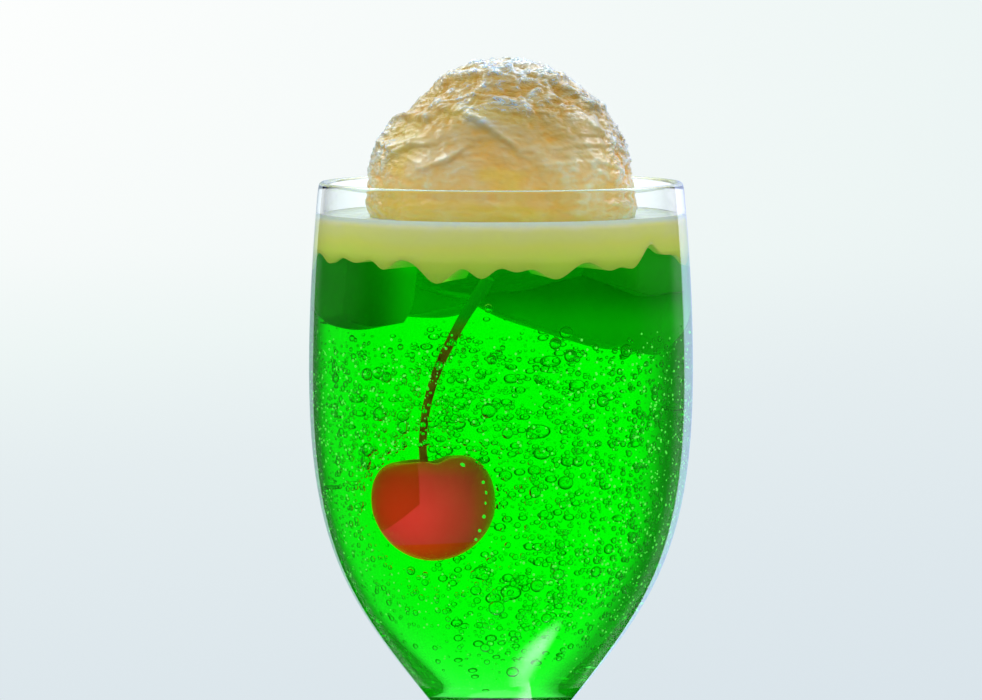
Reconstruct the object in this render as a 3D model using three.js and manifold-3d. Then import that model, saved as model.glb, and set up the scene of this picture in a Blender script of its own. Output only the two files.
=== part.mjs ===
// A melon cream soda float in a stemmed goblet, in millimetres, +Z up.
// The origin is the middle of the foot's underside, and -Y is the side that the cherry hangs on.
import * as THREE from 'three';
import { mergeVertices } from 'three/addons/utils/BufferGeometryUtils.js';
import Module from 'manifold-3d';

const wasm = await Module();
wasm.setup();

// Driving dimensions
const gap = 0.3;                 // room left between pieces that touch
const turns = 36;                // sides of every turned piece

const rimHeight = 165;           // height of the goblet, foot to rim
const rimRadius = 36.4;          // outside
const rimWall = 1.5;
const bellyHeight = 127;         // where the bowl is widest
const bellyRadius = 38.4;
const bellyWall = 1.7;
const footRadius = 34;
const footEdge = 1.6;            // thickness of the foot at its edge
const stemRadius = 4.7;
const stemTop = 44;              // where the stem starts to widen into the bowl
const bowlFloor = 62.6;          // lowest point of the hollow
const bowlFloorRadius = 11.9;    // where the rounded floor turns up into the wall
const bowlFloorRise = 1.6;       // height of that turn above the lowest point

const sodaLevel = 158.8;         // surface of the drink
const creamDepth = 7.5;          // least depth of the melted cream that floats on it

const scoopRadius = 26.4;        // ice cream, before its ridges
const scoopHeight = 162.9;       // its middle
const scoopSag = 0.8;            // how far its lower half, which melts in the drink, is flattened

const cherryRadius = 11.1;
const cherryHeight = 102.2;      // its middle
const cherryPlace = new THREE.Vector3(-12.3, -18.6, cherryHeight);
const cherryLean = THREE.MathUtils.degToRad(-6);
const cherryStemRadius = 0.75;
const stemRoute = [              // middle line of the cherry's stem, from the dimple up
  [-13.3, -18.6, 108.4], [-13.8, -18.7, 116], [-12.6, -19.4, 126],
  [-9, -21, 136], [-2.8, -23.8, 147.2],
];

// Curves and solids

function curve(...points) {
  return new THREE.CubicBezierCurve(...points.map(([x, y]) => new THREE.Vector2(x, y)));
}

function lathe(profile, segments = turns) {
  const geometry = new THREE.LatheGeometry(profile, segments);
  geometry.rotateX(Math.PI / 2);
  return geometry;
}

// Merged positions only, with the faces turned outwards
function closed(geometry) {
  const bare = geometry.index ? geometry.toNonIndexed() : geometry.clone();
  bare.deleteAttribute('normal');
  bare.deleteAttribute('uv');
  const merged = mergeVertices(bare, 1e-4);
  const place = merged.attributes.position;
  const corners = Array.from(merged.index.array);
  const faces = [];
  let volume = 0;
  const [a, b, c] = [new THREE.Vector3(), new THREE.Vector3(), new THREE.Vector3()];
  for (let i = 0; i < corners.length; i += 3) {
    const [p, q, r] = corners.slice(i, i + 3);
    if (p === q || q === r || r === p) continue;
    faces.push(p, q, r);
    a.fromBufferAttribute(place, p);
    b.fromBufferAttribute(place, q);
    c.fromBufferAttribute(place, r);
    volume += a.dot(b.cross(c));
  }
  if (volume < 0) faces.reverse();
  merged.setIndex(faces);
  return merged;
}

function solid(geometry) {
  const merged = closed(geometry);
  return new wasm.Manifold(new wasm.Mesh({
    numProp: 3,
    vertProperties: new Float32Array(merged.attributes.position.array),
    triVerts: new Uint32Array(merged.index.array),
  }));
}

function fromSolid(manifold) {
  const { vertProperties, triVerts } = manifold.getMesh();
  const geometry = new THREE.BufferGeometry();
  geometry.setAttribute('position', new THREE.BufferAttribute(vertProperties, 3));
  geometry.setIndex(new THREE.BufferAttribute(triVerts, 1));
  return geometry;
}

// The goblet's two outlines, each from its lowest point up to the rim

function outerBowl() {
  const shoulder = [14.8, 61.5];
  const low = curve([stemRadius, stemTop], [stemRadius, 52], [9.6, 55.4], shoulder);
  const middle = curve(shoulder, [29.9, 80.4], [bellyRadius, 90.8], [bellyRadius, bellyHeight]);
  const high = curve([bellyRadius, bellyHeight], [bellyRadius, 140], [37.6, 153], [rimRadius, rimHeight]);
  return [...low.getPoints(4), ...middle.getPoints(9).slice(1), ...high.getPoints(3).slice(1)];
}

function innerBowl(clearance = 0) {
  const belly = bellyRadius - bellyWall - clearance;
  const mouth = rimRadius - rimWall - clearance;
  const turn = [bowlFloorRadius - clearance, bowlFloor + bowlFloorRise + clearance];
  const bottom = bowlFloor + clearance;
  const floor = curve([0, bottom], [6, bottom], [9.6 - clearance, bottom + 0.9], turn);
  const middle = curve(turn, [27.5, 82.4], [belly, 92.6], [belly, bellyHeight]);
  const high = curve([belly, bellyHeight], [belly, 140], [mouth + 1.2, 153], [mouth, rimHeight]);
  return [...floor.getPoints(3), ...middle.getPoints(9).slice(1), ...high.getPoints(3).slice(1)];
}

function gobletProfile() {
  const foot = [
    new THREE.Vector2(0, 0),
    new THREE.Vector2(footRadius - 0.8, 0),
    new THREE.Vector2(footRadius, 0.6),
    new THREE.Vector2(footRadius, footEdge),
  ];
  const rise = curve([footRadius - 0.9, footEdge + 0.7], [14, 5.2], [stemRadius, 7.5], [stemRadius, 20]);
  const lip = [];
  const middle = rimRadius - rimWall / 2;
  for (const degrees of [45, 90, 135]) {
    const turn = THREE.MathUtils.degToRad(degrees);
    const reach = rimWall / 2;
    lip.push(new THREE.Vector2(middle + reach * Math.cos(turn), rimHeight + reach * (Math.sin(turn) - 1)));
  }
  const outside = outerBowl().slice(0, -1);
  const edge = [new THREE.Vector2(rimRadius, rimHeight - rimWall / 2)];
  const innerEdge = [new THREE.Vector2(rimRadius - rimWall, rimHeight - rimWall / 2)];
  const inside = innerBowl().reverse().slice(1);
  return [...foot, ...rise.getPoints(5), ...outside, ...edge, ...lip, ...innerEdge, ...inside];
}

function radiusAt(profile, height) {
  for (let i = 1; i < profile.length; i += 1) {
    const [low, high] = [profile[i - 1], profile[i]];
    if (height <= high.y && height >= low.y) {
      return THREE.MathUtils.mapLinear(height, low.y, high.y, low.x, high.x);
    }
  }
  return profile.at(-1).x;
}

// The melted cream hangs into the drink in rounded lobes.
// Each lobe: where its middle is, in degrees from the front towards +X, half its width, and its drop.
const frontLobes = [
  [-66, 8, 1.8], [-51, 8, 1.2], [-39, 5.5, 2.2], [-20, 9.5, 4.6], [-6, 7, 3.5],
  [4.5, 7, 2.1], [17, 10, 3.7], [35.5, 8, 2.3], [44.5, 6, 2], [53.5, 6, -2.4],
];
const backLobes = [];
for (let i = 0; i < 13; i += 1) {
  const wander = Math.sin(i * 2.4);
  backLobes.push([78 + i * 16.2 + wander * 3, 9.5 + wander * 2, 2.6 + Math.sin(i * 1.7) * 1.2]);
}

function lobeDrop(degrees) {
  let drop = 0;
  for (const [middle, half, depth] of [...frontLobes, ...backLobes]) {
    const away = THREE.MathUtils.euclideanModulo(degrees - middle + 180, 360) - 180;
    drop += depth * Math.exp(-2.2 * (away / half) ** 2);
  }
  return drop;
}

function creamRing(clearance = 0) {
  const wall = innerBowl(clearance > 0 ? 0 : gap);
  const segments = 2 * turns;
  const top = sodaLevel + clearance;
  const reach = clearance > 0 ? 3 : 0;
  const inner = scoopRadius - 9;
  const lowest = sodaLevel - creamDepth - clearance;
  const outer = (height) => radiusAt(wall, height) + reach;
  const between = (share) => THREE.MathUtils.lerp(inner, outer(lowest), share);
  const profile = [
    new THREE.Vector2(inner, lowest),
    new THREE.Vector2(between(0.75), lowest),
    new THREE.Vector2(outer(lowest), lowest),
    new THREE.Vector2(outer(lowest + 3), lowest + 3),
    new THREE.Vector2(outer(top), top),
    new THREE.Vector2(inner, top),
    new THREE.Vector2(inner, lowest),
  ];
  const geometry = lathe(profile, segments);
  const place = geometry.attributes.position;
  for (let i = 0; i < place.count; i += 1) {
    if (place.getZ(i) > lowest + 0.01) continue;
    const degrees = THREE.MathUtils.radToDeg(Math.atan2(place.getX(i), -place.getY(i)));
    place.setZ(i, lowest - lobeDrop(degrees));
  }
  return geometry;
}

// Ice cream: a scooped ball with torn ridges, each a rounded crest between two directions.
// A direction is degrees from the front towards +X, then degrees above the ball's middle.
const scoopRidges = [
  { from: [-21, 37], to: [4, 20], height: 1.1, width: 4.5 },
  { from: [-34, 11], to: [-20, 17], height: 0.8, width: 4 },
  { from: [-63, 31], to: [-38, 36], height: 1.5, width: 4 },
  { from: [-62, 18], to: [-37, 21], height: 0.9, width: 4 },
  { from: [-58, 25], to: [-46, 26], height: -1.3, width: 4 },
  { from: [-80, 33], to: [-112, 20], height: 1.3, width: 5 },
  { from: [12, 66], to: [13, 37], height: 0.8, width: 3.5 },
  { from: [-60, 62], to: [-15, 70], height: 1.1, width: 5 },
  { from: [30, 60], to: [74, 45], height: 0.9, width: 5 },
  { from: [60, 8], to: [100, 14], height: 0.9, width: 5 },
  { from: [120, 42], to: [165, 26], height: 1.3, width: 6 },
  { from: [-165, 52], to: [-130, 40], height: 1.2, width: 6 },
  { from: [150, 2], to: [-160, 10], height: 0.9, width: 6 },
];

function direction([azimuth, rise]) {
  const [a, r] = [THREE.MathUtils.degToRad(azimuth), THREE.MathUtils.degToRad(rise)];
  return new THREE.Vector3(Math.sin(a) * Math.cos(r), -Math.cos(a) * Math.cos(r), Math.sin(r));
}

const crests = scoopRidges.map(({ from, to, height, width }) => ({
  line: new THREE.Line3(direction(from), direction(to)), height, width,
}));

function scoopReach(way) {
  let reach = scoopRadius;
  const nearest = new THREE.Vector3();
  for (const { line, height, width } of crests) {
    line.closestPointToPoint(way, true, nearest);
    const away = nearest.distanceTo(way) * scoopRadius / (width / 2);
    reach += height * Math.exp(-away * away / 2);
  }
  const lump = Math.sin(way.x * 7 + 1) * Math.sin(way.y * 6 + way.z * 3) * Math.cos(way.z * 8 - 0.6);
  const grain = Math.sin(way.x * 19 + way.z * 11) * Math.sin(way.y * 17 - way.z * 15 + 2);
  return reach + 0.45 * lump + 0.22 * grain;
}

function scoopGeometry(clearance = 0) {
  const geometry = new THREE.IcosahedronGeometry(1, 7);
  const place = geometry.attributes.position;
  const way = new THREE.Vector3();
  for (let i = 0; i < place.count; i += 1) {
    way.fromBufferAttribute(place, i).normalize();
    way.multiplyScalar(scoopReach(way) + clearance);
    const rise = way.z > 0 ? way.z : way.z * scoopSag;
    place.setXYZ(i, way.x, way.y, rise + scoopHeight);
  }
  return geometry;
}

// Cherry: a dimple, two round shoulders and a narrower base

function cherryGeometry(clearance = 0) {
  const shoulder = [5.6, 9.5];
  const waist = [cherryRadius, 1.4];
  const dimple = curve([0, 6.2], [1.8, 6.4], [3, 9.5], shoulder);
  const side = curve(shoulder, [8.9, 9.5], [cherryRadius, 6], waist);
  const base = curve(waist, [cherryRadius, -5], [5.9, -9.9], [0, -9.9]);
  const half = [...dimple.getPoints(4), ...side.getPoints(4).slice(1), ...base.getPoints(5).slice(1)];
  const geometry = lathe(half, turns / 2);
  const place = geometry.attributes.position;
  for (let i = 0; i < place.count; i += 1) {
    const [x, y, z] = [place.getX(i), place.getY(i), place.getZ(i)];
    const fuller = 1 + 0.035 * THREE.MathUtils.smoothstep(x, -cherryRadius, cherryRadius);
    place.setXYZ(i, x * fuller, y * 0.98, z + 0.03 * x * (z > 0 ? 1 : 0));
  }
  const swell = 1 + clearance / cherryRadius;
  geometry.scale(swell, swell, swell);
  geometry.rotateY(cherryLean);
  geometry.translate(cherryPlace.x, cherryPlace.y, cherryPlace.z);
  return geometry;
}

function rod(points, radius, steps) {
  const path = new THREE.CatmullRomCurve3(points.map((point) => new THREE.Vector3(...point)));
  const section = new THREE.Shape().absarc(0, 0, radius, 0, Math.PI * 2);
  return new THREE.ExtrudeGeometry(section, { steps, curveSegments: 8, extrudePath: path, bevelEnabled: false });
}

// The stem's top end is a little knob, as where it was picked
function cherryStemSolid(clearance = 0) {
  const stalk = solid(rod(stemRoute, cherryStemRadius + clearance, 14));
  const knob = new THREE.IcosahedronGeometry(1.25 + clearance, 1);
  knob.scale(1, 1, 0.8);
  knob.translate(...stemRoute.at(-1));
  return stalk.add(solid(knob));
}

// The room that the stem's top takes out of the drink reaches up to the cream
function stemOpening() {
  const [x, y, z] = stemRoute.at(-1);
  return solid(rod([[x, y, z - 1], [x, y, z + 2], [x, y, z + 5]], 1.25 + gap, 2));
}

function sodaSolid(...rooms) {
  const wall = innerBowl(gap);
  const profile = wall.filter((point) => point.y < sodaLevel - 1);
  profile.push(new THREE.Vector2(radiusAt(wall, sodaLevel - 1), sodaLevel - 1));
  profile.push(new THREE.Vector2(0, sodaLevel - 1));
  const filled = solid(lathe(profile)).subtract(solid(creamRing(gap)));
  return rooms.reduce((drink, room) => drink.subtract(room), filled).subtract(stemOpening());
}

// Assembly

const group = new THREE.Group();

function addPiece(name, geometry, colour, roughness, more = {}) {
  const material = new THREE.MeshStandardMaterial({ color: colour, roughness, metalness: 0, ...more });
  const mesh = new THREE.Mesh(geometry, material);
  mesh.name = name;
  group.add(mesh);
}

const scoopRoom = solid(scoopGeometry(gap));
const cherryRoom = solid(cherryGeometry(gap));
const stemRoom = cherryStemSolid(gap);
const clear = { transparent: true };

addPiece('goblet', closed(lathe(gobletProfile())), 0xeef6f8, 0.03, { ...clear, opacity: 0.25 });
addPiece('soda', fromSolid(sodaSolid(scoopRoom, cherryRoom, stemRoom)), 0x14d21e, 0.05, { ...clear, opacity: 0.75 });
addPiece('cream_layer', fromSolid(solid(creamRing()).subtract(scoopRoom).subtract(stemRoom)), 0xb4c070, 0.35);
addPiece('ice_cream_scoop', closed(scoopGeometry()), 0xd8b882, 0.55);
addPiece('cherry', closed(cherryGeometry()), 0xb4261c, 0.18);
addPiece('cherry_stem', fromSolid(cherryStemSolid().subtract(cherryRoom)), 0x5c3410, 0.6);

export default group;
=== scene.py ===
import math
import random
import bmesh
import bpy
from mathutils import Matrix, Vector, noise
from mathutils.geometry import interpolate_bezier


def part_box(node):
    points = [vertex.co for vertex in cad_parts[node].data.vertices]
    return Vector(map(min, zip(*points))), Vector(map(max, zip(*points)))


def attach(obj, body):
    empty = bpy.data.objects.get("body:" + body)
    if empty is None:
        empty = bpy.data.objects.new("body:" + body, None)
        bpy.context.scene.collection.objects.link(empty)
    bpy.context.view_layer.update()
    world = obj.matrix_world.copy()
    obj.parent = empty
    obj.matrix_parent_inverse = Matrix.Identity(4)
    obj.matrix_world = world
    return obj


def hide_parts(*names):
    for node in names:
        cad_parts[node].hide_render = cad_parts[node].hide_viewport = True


# A melon cream soda float in a stemmed goblet, with -Y towards the camera. The pieces' own
# settings are in millimetres and degrees. The camera's, the stage's and the materials' are in metres.
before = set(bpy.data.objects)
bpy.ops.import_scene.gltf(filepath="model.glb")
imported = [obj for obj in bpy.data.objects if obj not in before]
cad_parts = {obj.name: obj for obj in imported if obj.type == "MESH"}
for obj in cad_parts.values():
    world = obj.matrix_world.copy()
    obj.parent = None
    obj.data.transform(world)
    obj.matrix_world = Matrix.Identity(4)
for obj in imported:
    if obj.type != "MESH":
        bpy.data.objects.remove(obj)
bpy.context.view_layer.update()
mm = 0.001

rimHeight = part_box("goblet")[1].z
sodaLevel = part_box("cream_layer")[1].z
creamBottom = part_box("cream_layer")[0].z


# Helpers for numbers, nodes and meshes

def ease(value, low, high):
    share = min(max((value - low) / (high - low), 0), 1)
    return share * share * (3 - 2 * share)


def setSocket(tree, socket, value):
    if isinstance(value, bpy.types.NodeSocket):
        tree.links.new(value, socket)
    elif socket.type == "RGBA":
        socket.default_value = (*value[:3], 1)
    else:
        socket.default_value = value


def addNode(tree, kind, settings=None, **sockets):
    node = tree.nodes.new("ShaderNode" + kind)
    for name, value in (settings or {}).items():
        setattr(node, name, value)
    for name, value in sockets.items():
        setSocket(tree, node.inputs[name.replace("_", " ")], value)
    return node


def addMath(tree, operation, *values):
    node = addNode(tree, "Math", dict(operation=operation))
    for socket, value in zip(node.inputs, values):
        setSocket(tree, socket, value)
    return node.outputs[0]


def addRange(tree, value, fromLow, fromHigh, toLow=0.0, toHigh=1.0, smooth=True):
    kind = "SMOOTHSTEP" if smooth else "LINEAR"
    node = addNode(tree, "MapRange", dict(interpolation_type=kind), Value=value)
    for name, number in zip(("From Min", "From Max", "To Min", "To Max"), (fromLow, fromHigh, toLow, toHigh)):
        node.inputs[name].default_value = number
    return node.outputs["Result"]


def mixNumbers(tree, factor, first, second):
    node = addNode(tree, "Mix", dict(data_type="FLOAT"))
    for socket, value in zip(node.inputs[:1] + node.inputs[2:4], (factor, first, second)):
        setSocket(tree, socket, value)
    return node.outputs[0]


def mixColours(tree, factor, first, second, blend="MIX"):
    node = addNode(tree, "Mix", dict(data_type="RGBA", blend_type=blend))
    for socket, value in zip((node.inputs[0], node.inputs[6], node.inputs[7]), (factor, first, second)):
        setSocket(tree, socket, value)
    return node.outputs[2]


def addRamp(tree, factor, stops):
    ramp = addNode(tree, "ValToRGB", Fac=factor)
    elements = ramp.color_ramp.elements
    while len(elements) < len(stops):
        elements.new(0.5)
    for element, (place, colour) in zip(elements, stops):
        element.position = place
        element.color = (*colour, 1) if hasattr(colour, "__len__") else (colour, colour, colour, 1)
    return ramp.outputs[0]


def newMaterial(name, **sockets):
    material = bpy.data.materials.new(name)
    material.use_nodes = True
    tree = material.node_tree
    shader = tree.nodes["Principled BSDF"]
    setLook(tree, shader, **sockets)
    return material, tree, shader


def setLook(tree, shader, **sockets):
    for name, value in sockets.items():
        setSocket(tree, shader.inputs[name.replace("_", " ")], value)


def toObject(mesh, name, material):
    data = bpy.data.meshes.new(name)
    for face in mesh.faces:
        face.smooth = True
    mesh.to_mesh(data)
    mesh.free()
    data.materials.append(material)
    thing = bpy.data.objects.new(name, data)
    bpy.context.scene.collection.objects.link(thing)
    return thing


def toPiece(mesh, name, material, node=None):
    bmesh.ops.recalc_face_normals(mesh, faces=mesh.faces)
    piece = toObject(mesh, name, material)
    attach(piece, "root")
    if node:
        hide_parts(node)
    return piece


def curve(steps, *points):
    start, leave, arrive, end = [Vector((x * mm, 0, z * mm)) for x, z in points]
    return interpolate_bezier(start, leave, arrive, end, steps)


def turned(profile, steps):
    mesh = bmesh.new()
    corners = [mesh.verts.new(point) for point in profile]
    edges = [mesh.edges.new(pair) for pair in zip(corners, corners[1:])]
    bmesh.ops.spin(mesh, geom=corners + edges, cent=(0, 0, 0), axis=(0, 0, 1),
                   angle=2 * math.pi, steps=steps, use_merge=True)
    bmesh.ops.remove_doubles(mesh, verts=mesh.verts, dist=1e-6)
    return mesh


# Camera, stage and light

view = dict(
    distance=1.5,      # from the goblet's axis
    aboveRim=0.073,
    aimBelowRim=0.0337,
    aimLeft=0.002,
    width=0.1964,      # what the frame takes in at the goblet
    sensor=36,
    reach=(0.01, 100),
)

stageLook = dict(
    radius=4.0, cove=1.4, coveRound=0.45, height=4.2,
    coveSteps=12, steps=64,
    middle=(0.0, 0.0, 0.11),      # the stage's brightness goes by the direction from here
    glowPlace=(-1.0, 4.0, 0.6), glowStretch=2.0,
    wash=(             # distance from the glow, and the colour there
        (1.6, (0.99, 1.0, 0.99)), (2.75, (0.85, 0.92, 0.91)), (3.3, (0.78, 0.85, 0.87)),
        (4.2, (0.70, 0.78, 0.83)),
    ),
    paper=(0.5, 0.55, 0.58), floorNear=0.22, floorFar=0.5,      # plain paper that fades in near the foot
    cool=((0.94, 0.99, 1.0), (0.9, 0.9, 1.0)), coolAcross=(0.0, 0.5),
    # Below are strengths in some directions. Pairs are how far the direction goes up, back or across
    # where a change starts and ends.
    lamp=dict(         # what lights the float
        front=0.64, back=1.75, top=0.75, below=0.3, rise=(-0.5, 0.4),
    ),
    mirrored=dict(     # what its gloss mirrors, brightest where the glass turns away
        front=0.01, edge=2.2, back=1.0, fade=(0.8, 1.0), top=7.0, topRise=(0.3, 0.8), topBack=(-0.3, 0.4),
    ),
    edgeFrom=(0.845, 0.87), edgeLean=0.1,
    edgeColours=((0.46, 0.57, 0.66), (0.62, 0.74, 1.1)), edgeAcross=(-0.1, 0.1),
    through=dict(      # what is seen through glass and drink
        side=0.32, back=1.3, front=0.65, frontFade=(-0.9, -0.3), top=0.6, topRise=(0.25, 0.7), floor=0.6,
        returned=0.14, returnedBack=(0.0, 0.9),      # after a reflection inside them
    ),
    panel=(0.7, 0.88), panelLean=0.14,
    spot=(0.031, -0.014, 0.0), spotStretch=0.4, spotReach=(0.001, 0.011), spotGlow=7.0,      # under the foot
    sky=(0.95, 0.98, 1), skyStrength=0.8,
)


def makeCamera():
    data = bpy.data.cameras.new("camera")
    data.sensor_width = view["sensor"]
    aim = Vector((-view["aimLeft"], 0, rimHeight - view["aimBelowRim"]))
    place = Vector((-view["aimLeft"], -view["distance"], rimHeight + view["aboveRim"]))
    data.lens = data.sensor_width * (aim - place).length / view["width"]
    data.clip_start, data.clip_end = view["reach"]
    camera = bpy.data.objects.new("camera", data)
    camera.location = place
    camera.rotation_euler = (aim - place).to_track_quat("-Z", "Y").to_euler()
    bpy.context.scene.collection.objects.link(camera)
    bpy.context.scene.camera = camera


def distanceFrom(tree, place, middle, stretch):
    x, y, z = middle
    wide = addNode(tree, "Mapping", Vector=place, Scale=(stretch, 1, 1))
    away = addNode(tree, "VectorMath", dict(operation="DISTANCE"))
    setSocket(tree, away.inputs[0], wide.outputs[0])
    setSocket(tree, away.inputs[1], (x * stretch, y, z))
    return away.outputs["Value"]


def stageWash(tree, place):
    away = distanceFrom(tree, place, stageLook["glowPlace"], stageLook["glowStretch"])
    reach = stageLook["wash"][-1][0]
    share = addMath(tree, "DIVIDE", away, reach)
    return addRamp(tree, share, [(distance / reach, colour) for distance, colour in stageLook["wash"]])


def stageDirection(tree, place):
    out = addNode(tree, "VectorMath", dict(operation="SUBTRACT"))
    setSocket(tree, out.inputs[0], place)
    setSocket(tree, out.inputs[1], stageLook["middle"])
    way = addNode(tree, "VectorMath", dict(operation="NORMALIZE"))
    setSocket(tree, way.inputs[0], out.outputs[0])
    parts = addNode(tree, "SeparateXYZ", Vector=way.outputs[0]).outputs
    return parts["X"], parts["Y"], parts["Z"]


def lampLight(tree, backward, upward):
    part = stageLook["lamp"]
    light = addRange(tree, backward, -1, 1, part["front"], part["back"])
    light = addMath(tree, "MULTIPLY_ADD", addMath(tree, "MAXIMUM", upward, 0.0), part["top"], light)
    return addMath(tree, "MULTIPLY", light, addRange(tree, upward, *part["rise"], part["below"], 1.0))


def mirroredLight(tree, edge, backward, upward):
    part = stageLook["mirrored"]
    bright = addRange(tree, backward, *part["fade"], part["edge"], part["back"])
    light = mixNumbers(tree, edge, part["front"], bright)
    raised = addRange(tree, upward, *part["topRise"])
    overhead = addMath(tree, "MULTIPLY", raised, addRange(tree, backward, *part["topBack"]))
    return addMath(tree, "MULTIPLY_ADD", overhead, part["top"], light)


def returnedLight(tree, place, panelWay, backward):
    part = stageLook["through"]
    kept = addRange(tree, backward, *part["returnedBack"], smooth=False)
    kept = addMath(tree, "MULTIPLY", kept, part["returned"])
    light = addMath(tree, "ADD", kept, addRange(tree, panelWay, *stageLook["panel"]))
    away = distanceFrom(tree, place, stageLook["spot"], stageLook["spotStretch"])
    spot = addRange(tree, away, *stageLook["spotReach"], stageLook["spotGlow"], 0.0)
    return addMath(tree, "ADD", light, spot)


def throughLight(tree, place, path, near, way):
    rightward, backward, upward = way
    part = stageLook["through"]
    panelWay = addMath(tree, "MULTIPLY_ADD", rightward, stageLook["panelLean"], backward)
    behind = addRange(tree, panelWay, *stageLook["panel"], part["side"], part["back"])
    before = addRange(tree, backward, *part["frontFade"], part["front"] - part["side"], 0.0)
    light = mixNumbers(tree, near, addMath(tree, "ADD", behind, before), part["floor"])
    returned = addMath(tree, "GREATER_THAN", path["Glossy Depth"], 0.5)
    light = mixNumbers(tree, returned, light, returnedLight(tree, place, panelWay, backward))
    return addMath(tree, "ADD", light, addRange(tree, upward, *part["topRise"], 0.0, part["top"]))


def stageTint(tree, place, path, rightward, mirroredEdge):
    s = stageLook
    cool = mixColours(tree, addRange(tree, rightward, *s["coolAcross"]), *s["cool"])
    tint = mixColours(tree, path["Is Camera Ray"], cool, stageWash(tree, place))
    sheen = mixColours(tree, addRange(tree, rightward, *s["edgeAcross"]), *s["edgeColours"])
    return mixColours(tree, mirroredEdge, tint, sheen)


def stageMaterial():
    s = stageLook
    material = bpy.data.materials.new("stage_paper")
    material.use_nodes = True
    tree = material.node_tree
    tree.nodes.clear()
    place = addNode(tree, "TexCoord").outputs["Object"]
    path = addNode(tree, "LightPath").outputs
    way = rightward, backward, upward = stageDirection(tree, place)
    flat = addNode(tree, "VectorMath", dict(operation="LENGTH"))
    setSocket(tree, flat.inputs[0], place)
    near = addRange(tree, flat.outputs["Value"], s["floorNear"], s["floorFar"], 1.0, 0.0)
    turnedBack = addMath(tree, "MULTIPLY_ADD", rightward, s["edgeLean"], backward)
    edge = addRange(tree, turnedBack, *s["edgeFrom"])

    straight = addMath(tree, "LESS_THAN", path["Diffuse Depth"], 0.5)
    seenThrough = addMath(tree, "MULTIPLY", path["Is Transmission Ray"], straight)
    seenMirrored = addMath(tree, "MULTIPLY", path["Is Glossy Ray"], straight)
    mirrored = mirroredLight(tree, edge, backward, upward)
    strength = mixNumbers(tree, seenMirrored, lampLight(tree, backward, upward), mirrored)
    strength = mixNumbers(tree, seenThrough, strength, throughLight(tree, place, path, near, way))
    strength = mixNumbers(tree, path["Is Camera Ray"], strength, 1.0)

    outside = addMath(tree, "SUBTRACT", seenMirrored, path["Is Transmission Ray"])
    outside = addMath(tree, "MULTIPLY", addMath(tree, "MAXIMUM", outside, 0.0), edge)
    tint = stageTint(tree, place, path, rightward, outside)
    glow = addNode(tree, "Emission", Color=tint, Strength=strength)
    paper = addNode(tree, "BsdfDiffuse", Color=s["paper"])
    whole = addNode(tree, "MixShader", Fac=addMath(tree, "MULTIPLY", near, path["Is Camera Ray"]))
    setSocket(tree, whole.inputs[1], glow.outputs[0])
    setSocket(tree, whole.inputs[2], paper.outputs[0])
    end = addNode(tree, "OutputMaterial")
    setSocket(tree, end.inputs["Surface"], whole.outputs[0])
    return material


def makeStage():
    s = stageLook
    radius, cove, height = (s[name] / mm for name in ("radius", "cove", "height"))
    pull = cove * s["coveRound"]
    bend = curve(s["coveSteps"], (radius - cove, 0), (radius - pull, 0), (radius, pull), (radius, cove))
    mesh = turned([Vector((0, 0, 0)), *bend, Vector((radius * mm, 0, height * mm))], s["steps"])
    backdrop = toObject(mesh, "backdrop", stageMaterial())
    world = bpy.data.worlds.new("studio")
    world.use_nodes = True
    sky = world.node_tree.nodes["Background"]
    sky.inputs["Color"].default_value = (*s["sky"], 1)
    sky.inputs["Strength"].default_value = s["skyStrength"]
    bpy.context.scene.world = world


def setRender():
    scene = bpy.context.scene
    scene.view_settings.view_transform = "Standard"
    scene.cycles.max_bounces = 32
    scene.cycles.transmission_bounces = 32
    scene.cycles.glossy_bounces = 8
    scene.cycles.diffuse_bounces = 3
    scene.cycles.transparent_max_bounces = 8
    scene.cycles.sample_clamp_indirect = 8


makeCamera()
makeStage()
setRender()
print("camera and stage are ready")


# Goblet

goblet = dict(
    rim=36.4, rimWall=1.5, belly=38.4, bellyHeight=127, bellyWall=1.7,
    foot=34, footEdge=1.6, footRound=1.2, footBulge=0.1, footTop=2.1,
    stem=4.7, stemBottom=20, stemTop=44, shoulder=(14.8, 61.5),
    floor=62.6, floorRadius=11.9, floorRise=1.6,
    # What the curves between those places bend towards, from the foot upwards
    footPulls=((14, 5.2), 7.5),
    stemPull=52, neckPull=(9.6, 55.4),
    floorFlat=6, floorPull=(9.6, 0.9),
    innerPulls=((27.5, 82.4), 92.6), outerPulls=((29.9, 80.4), 90.8),
    upperPulls=(140, 153), innerMouth=1.2, outerMouth=37.6,
    shortSteps=12, longSteps=24, edgeSteps=8, riseSteps=16, lipSteps=8,
    steps=180,
    tint=(0.97, 0.995, 1.0),
    bend=1.5,
)


def innerBowl(spread=0.0):
    g = goblet
    top = rimHeight / mm
    belly = g["belly"] - g["bellyWall"] + spread
    mouth = g["rim"] - g["rimWall"] + spread
    bottom = g["floor"] - spread
    turn = (g["floorRadius"] + spread, g["floor"] + g["floorRise"] - spread)
    across, rise = g["floorPull"]
    lowPull, bellyPull = g["innerPulls"]
    upperPull, mouthPull = g["upperPulls"]
    low = curve(g["shortSteps"], (0, bottom), (g["floorFlat"], bottom), (across + spread, bottom + rise),
                turn)
    middle = curve(g["longSteps"], turn, lowPull, (belly, bellyPull), (belly, g["bellyHeight"]))
    high = curve(g["longSteps"], (belly, g["bellyHeight"]), (belly, upperPull),
                 (mouth + g["innerMouth"], mouthPull), (mouth, top))
    return low + middle[1:] + high[1:]


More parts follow.
